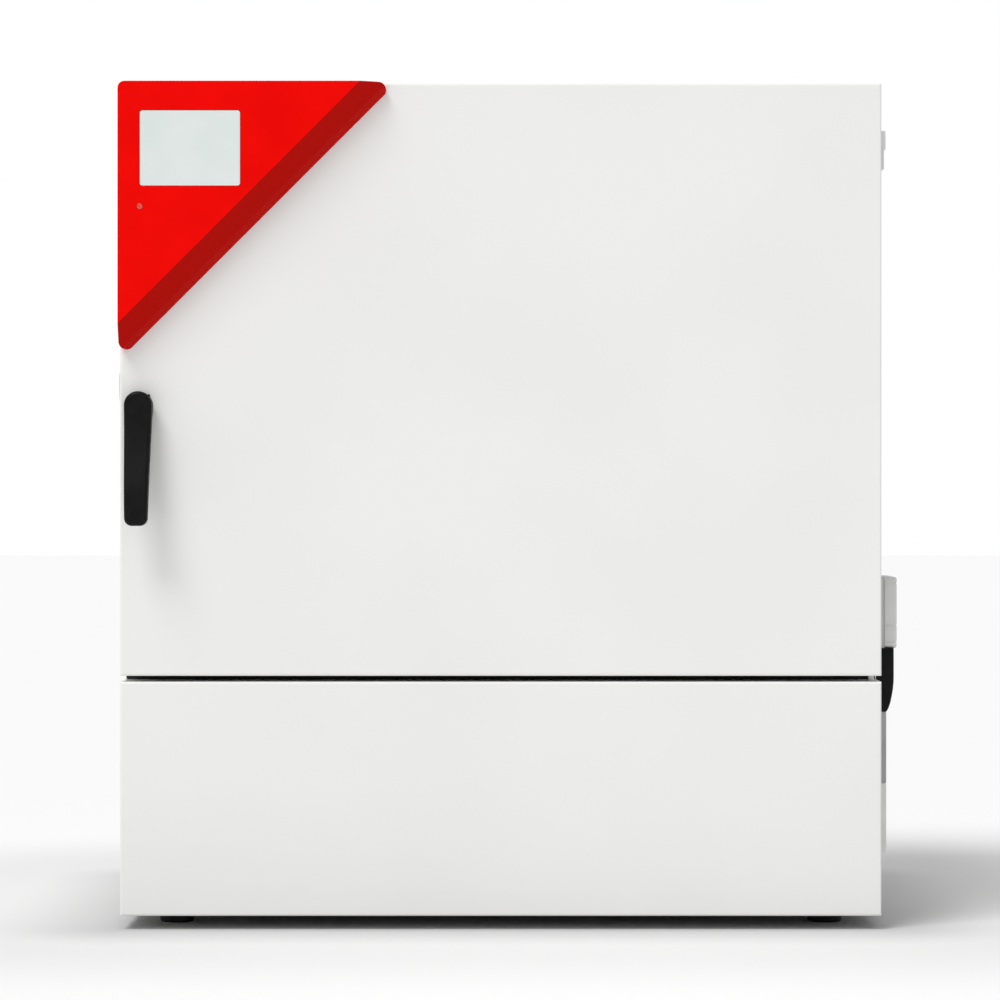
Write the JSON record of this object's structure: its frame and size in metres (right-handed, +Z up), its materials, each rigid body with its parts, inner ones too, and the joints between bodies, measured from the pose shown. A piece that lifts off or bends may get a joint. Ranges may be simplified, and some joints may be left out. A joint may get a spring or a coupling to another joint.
{
  "type": "climate chamber",
  "caption": "Free-standing test chamber with insulated hinged door, glass inner door, wire racks, fan, refrigeration, steam unit and a triangular touch-display cover.",
  "frame": {"origin": "on the floor under the middle of the whole object, which is also the middle of the casing", "axes": "+Z up, door facing -Y, +X to the right of someone facing the door"},
  "size_m": [0.93, 0.7541, 0.978],
  "materials": {
    "powder_coat": "fine-textured white powder coat",
    "red_cover": "red moulded ABS, satin",
    "display_face": "pale touch display under cover glass",
    "lamp_lens": "clear red lens",
    "black_plastic": "black moulded nylon, satin",
    "grey_plastic": "grey moulded ABS",
    "pale_plastic": "pale grey moulded ABS",
    "stainless": "brushed stainless sheet",
    "steel": "zinc-plated steel",
    "clear_glass": "clear toughened glass",
    "silicone": "translucent pale silicone",
    "black_rubber": "black rubber",
    "foam": "cut foam and mineral wool boards",
    "copper": "bare copper tube",
    "fins": "bright aluminium fins",
    "machine_black": "black painted steel",
    "board_green": "dark circuit tray"
  },
  "bodies": {
    "cabinet": {"left_panel": "powder_coat", "right_panel": "powder_coat", "top_panel": "powder_coat", "rear_panel": "powder_coat", "machine_grille": "powder_coat", "base_pan": "powder_coat", "lower_front_cover": "powder_coat", "partition": "steel", "insulation": "foam", "inner_chamber": "stainless", "front_frame": "black_plastic", "side_wall_left": "stainless", "side_wall_right": "stainless", "rear_wall": "stainless", "shelf_rails": "stainless", "rack_lower": "stainless", "rack_upper": "stainless", "fan_motor": "machine_black", "evaporator": "fins", "heater_element": "stainless", "climate_sensors": "stainless", "glass_door_seal": "silicone", "glass_hinge_blocks": "black_plastic", "strike": "steel", "upper_hinge": "steel", "lower_hinge": "steel", "service_box": "pale_plastic", "socket_hood": "black_plastic", "interface_plate": "grey_plastic", "blank_plate": "pale_plastic", "wiring_cover": "pale_plastic", "compressor": "machine_black", "condenser": "fins", "condenser_fan_frame": "machine_black", "steam_humidifier": "stainless", "electronics_box": "machine_black", "refrigerant_lines": "copper", "access_port": "pale_plastic", "water_connections": "grey_plastic", "mains_inlet": "black_plastic", "feet": "black_rubber", "rear_screws": "steel"},
    "door": {"door_shell": "powder_coat", "door_core": "foam", "door_liner": "stainless", "door_gasket": "black_rubber", "hinge_bushes": "black_plastic", "control_housing": "red_cover", "display_glass": "display_face", "display_module": "board_green", "status_lamp": "lamp_lens", "handle_base": "black_plastic"},
    "handle": {"handle_lever": "black_plastic"},
    "latch": {"latch_bar": "steel"},
    "glass_door": {"glass_pane": "clear_glass", "glass_fittings": "steel"},
    "switch": {"main_switch": "black_plastic"},
    "circulation_fan": {"fan_impeller": "stainless"},
    "cooling_fan": {"condenser_fan": "black_plastic"},
    "port_plug": {"access_plug": "silicone"}
  },
  "joints": [
    {"name": "door_hinge", "type": "hinge", "parent": "cabinet", "child": "door", "pos_m": [0.43, -0.296, 0.636], "axis": [0, 0, 1], "range_deg": [0, 110]},
    {"name": "glass_door_hinge", "type": "hinge", "parent": "cabinet", "child": "glass_door", "pos_m": [0.332, -0.2465, 0.635], "axis": [0, 0, 1], "range_deg": [0, 100]},
    {"name": "handle_pull", "type": "hinge", "parent": "door", "child": "handle", "pos_m": [-0.4175, -0.338, 0.60375], "axis": [-1, 0, 0], "range_deg": [0, 30], "stiffness_Nm_per_rad": 0.5, "springref_deg": -14.32},
    {"name": "latch_slide", "type": "slide", "parent": "door", "child": "latch", "axis": [0, 0, -1], "range_m": [0, 0.012]},
    {"name": "main_switch_rock", "type": "hinge", "parent": "cabinet", "child": "switch", "pos_m": [0.457, -0.193, 0.3705], "axis": [0, -1, 0], "range_deg": [0, 12]},
    {"name": "circulation_fan_spin", "type": "hinge", "parent": "cabinet", "child": "circulation_fan", "pos_m": [0, 0.2, 0.635], "axis": [0, 1, 0], "continuous": true},
    {"name": "cooling_fan_spin", "type": "hinge", "parent": "cabinet", "child": "cooling_fan", "pos_m": [0.2438, 0.22, 0.1362], "axis": [0, 1, 0], "continuous": true},
    {"name": "access_plug_pull", "type": "slide", "parent": "cabinet", "child": "port_plug", "axis": [-1, 0, 0], "range_m": [0, 0.15]}
  ],
  "couplings": [
    {"joint": "glass_door_hinge", "follows": "door_hinge", "ratio": 0.9},
    {"joint": "latch_slide", "follows": "handle_pull", "m_per_rad": 0.0229}
  ]
}
